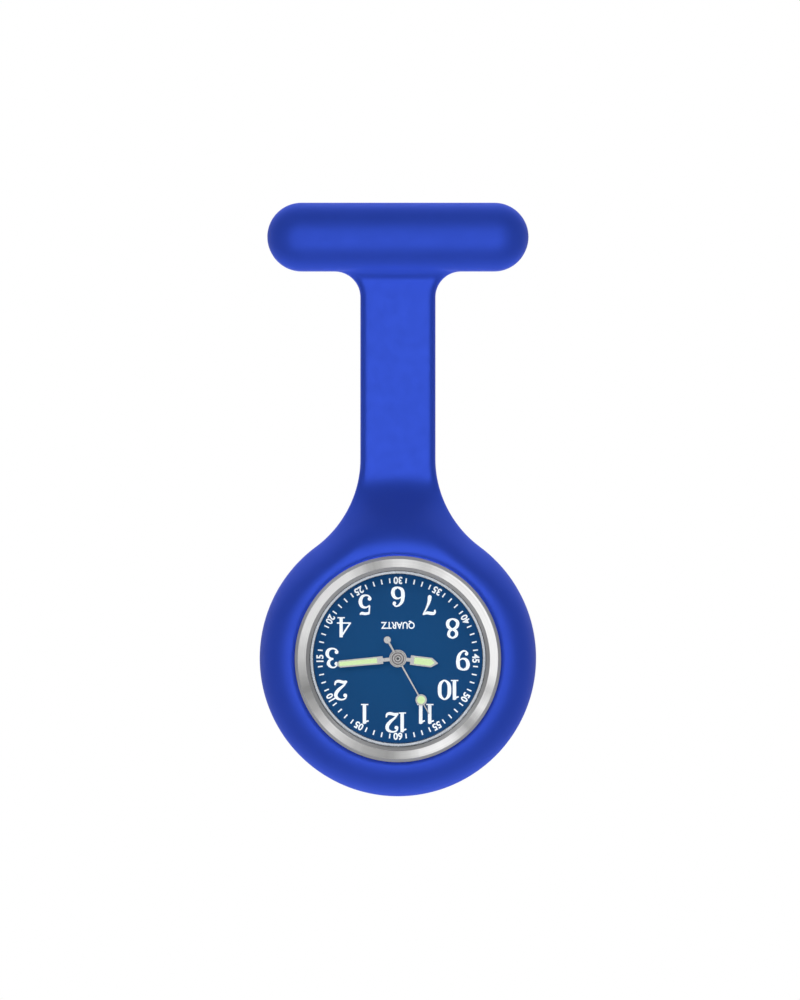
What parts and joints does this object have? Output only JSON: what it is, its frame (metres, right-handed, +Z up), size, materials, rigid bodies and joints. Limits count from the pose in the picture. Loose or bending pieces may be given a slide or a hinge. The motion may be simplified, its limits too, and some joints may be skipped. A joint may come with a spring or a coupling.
{
  "type": "fob watch",
  "caption": "Fob watch that hangs upside down from a brooch pin: quartz watch with dark blue dial and steel bezel, held in a soft blue silicone strap and ring.",
  "frame": {"origin": "middle of the brooch pin's stem", "axes": "+Z up along the hanging strap, +Y straight back out of the flat back towards the wearer, dial facing -Y, +X to the right of someone facing the dial"},
  "size_m": [0.0396, 0.0129, 0.0851],
  "materials": {
    "silicone": "smooth satin moulded silicone, royal blue",
    "pin_steel": "nickel-plated steel",
    "catch_brass": "nickel-washed brass",
    "case_metal": "polished plated alloy",
    "bezel_steel": "circular brushed steel, polished edges",
    "crystal_glass": "clear polished mineral glass",
    "gasket": "matte nitrile",
    "gasket_white": "clear nylon",
    "ring_metal": "polished plated ring",
    "dial_paint": "deep blue satin lacquer on brass",
    "hand_metal": "polished plated brass",
    "lume": "pale yellow-green luminous filler",
    "wheel_brass": "gilt brass",
    "wheel_steel": "hardened steel",
    "wheel_plastic": "moulded acetal",
    "plate_metal": "moulded filled nylon, black",
    "bridge_metal": "nickel-plated brass",
    "battery_steel": "plated steel can",
    "spring_steel": "spring steel",
    "stator_iron": "annealed soft iron",
    "copper": "enamelled copper wire",
    "board": "solder-masked board",
    "chip": "black epoxy",
    "can": "drawn can",
    "holder_plastic": "moulded white plastic"
  },
  "bodies": {
    "holder": {"cover_brooch_end": "silicone", "cover_flex_web": "silicone", "brooch_plate": "pin_steel", "hinge_rivet": "pin_steel", "catch_hook": "pin_steel"},
    "pin": {"pin_stem": "pin_steel"},
    "lock": {"catch_lock": "catch_brass"},
    "watch_head": {"cover_watch_ring": "silicone", "case_body": "case_metal", "bezel": "bezel_steel", "crystal": "crystal_glass", "crystal_gasket": "gasket_white", "dial_ring": "ring_metal", "caseback": "case_metal", "caseback_gasket": "gasket", "crown_tube": "case_metal", "dial": "dial_paint", "wheel_guard": "spring_steel", "main_plate": "plate_metal", "train_bridge": "bridge_metal", "bridge_screws": "wheel_steel", "clamp_screws": "wheel_steel", "battery": "battery_steel", "battery_clamp": "spring_steel", "battery_contact": "spring_steel", "stator": "stator_iron", "coil_core": "stator_iron", "coil_winding": "copper", "circuit_board": "board", "timing_chip": "chip", "quartz_can": "can", "movement_holder": "holder_plastic"},
    "clutch": {"sliding_pinion": "wheel_steel"},
    "crown_group": {"crown": "case_metal", "crown_seal": "gasket", "winding_stem": "wheel_steel"},
    "lever": {"setting_lever": "spring_steel"},
    "seconds": {"seconds_wheel": "wheel_steel", "second_hand": "hand_metal", "second_lume": "lume"},
    "step_rotor": {"rotor": "wheel_steel"},
    "intermediate": {"intermediate_wheel": "wheel_plastic"},
    "third": {"third_wheel": "wheel_plastic"},
    "minutes": {"centre_wheel": "wheel_brass", "minute_hand": "hand_metal", "minute_lume": "lume"},
    "motion": {"minute_wheel": "wheel_plastic"},
    "hours": {"hour_wheel": "wheel_brass", "hour_hand": "hand_metal", "hour_lume": "lume"},
    "setting": {"setting_wheel": "wheel_plastic"}
  },
  "joints": [
    {"name": "strap_flex", "type": "hinge", "parent": "holder", "child": "watch_head", "pos_m": [0, -0.0033, -0.0203], "axis": [-1, 0, 0], "range_deg": [-40, 100], "stiffness_Nm_per_rad": 0.002, "deforming": ["cover_flex_web"]},
    {"name": "pin_swing", "type": "hinge", "parent": "holder", "child": "pin", "pos_m": [-0.0134, 0, 0], "axis": [0, 0, 1], "range_deg": [0, 110]},
    {"name": "catch_turn", "type": "hinge", "parent": "holder", "child": "lock", "pos_m": [0.0138, 0, 0], "axis": [-1, 0, 0], "range_deg": [0, 58]},
    {"name": "crown_turn", "type": "hinge", "parent": "watch_head", "child": "clutch", "pos_m": [-0.007, -0.0066, -0.0604], "axis": [-1, 0, 0], "continuous": true},
    {"name": "crown_pull", "type": "slide", "parent": "clutch", "child": "crown_group", "axis": [-1, 0, 0], "range_m": [0, 0.0009]},
    {"name": "lever_swing", "type": "hinge", "parent": "watch_head", "child": "lever", "pos_m": [-0.00905, -0.0059, -0.0575], "axis": [0, 1, 0], "range_deg": [0, 21.3]},
    {"name": "seconds_turn", "type": "hinge", "parent": "watch_head", "child": "seconds", "pos_m": [0, -0.0059, -0.0604], "axis": [0, 1, 0], "continuous": true},
    {"name": "rotor_turn", "type": "hinge", "parent": "watch_head", "child": "step_rotor", "pos_m": [-0.00295, -0.0059, -0.05803], "axis": [0, 1, 0], "continuous": true},
    {"name": "intermediate_turn", "type": "hinge", "parent": "watch_head", "child": "intermediate", "pos_m": [-0.00187, -0.0059, -0.05932], "axis": [0, 1, 0], "continuous": true},
    {"name": "third_turn", "type": "hinge", "parent": "watch_head", "child": "third", "pos_m": [0.00319, -0.0059, -0.05924], "axis": [0, 1, 0], "continuous": true},
    {"name": "minutes_turn", "type": "hinge", "parent": "watch_head", "child": "minutes", "pos_m": [0, -0.0059, -0.0604], "axis": [0, 1, 0], "continuous": true},
    {"name": "minute_wheel_turn", "type": "hinge", "parent": "watch_head", "child": "motion", "pos_m": [-0.0024, -0.0059, -0.0604], "axis": [0, 1, 0], "continuous": true},
    {"name": "hours_turn", "type": "hinge", "parent": "watch_head", "child": "hours", "pos_m": [0, -0.0059, -0.0604], "axis": [0, 1, 0], "continuous": true},
    {"name": "setting_turn", "type": "hinge", "parent": "watch_head", "child": "setting", "pos_m": [-0.0049, -0.0059, -0.0604], "axis": [0, 1, 0], "continuous": true}
  ],
  "couplings": [
    {"joint": "lever_swing", "follows": "crown_pull", "rad_per_m": 411.88},
    {"joint": "rotor_turn", "follows": "seconds_turn", "ratio": 30},
    {"joint": "intermediate_turn", "follows": "seconds_turn", "ratio": -5},
    {"joint": "third_turn", "follows": "seconds_turn", "ratio": -0.13333},
    {"joint": "minutes_turn", "follows": "seconds_turn", "ratio": 0.016667},
    {"joint": "minute_wheel_turn", "follows": "seconds_turn", "ratio": -0.0055556},
    {"joint": "hours_turn", "follows": "seconds_turn", "ratio": 0.0013889},
    {"joint": "setting_turn", "follows": "seconds_turn", "ratio": 0.014286}
  ]
}
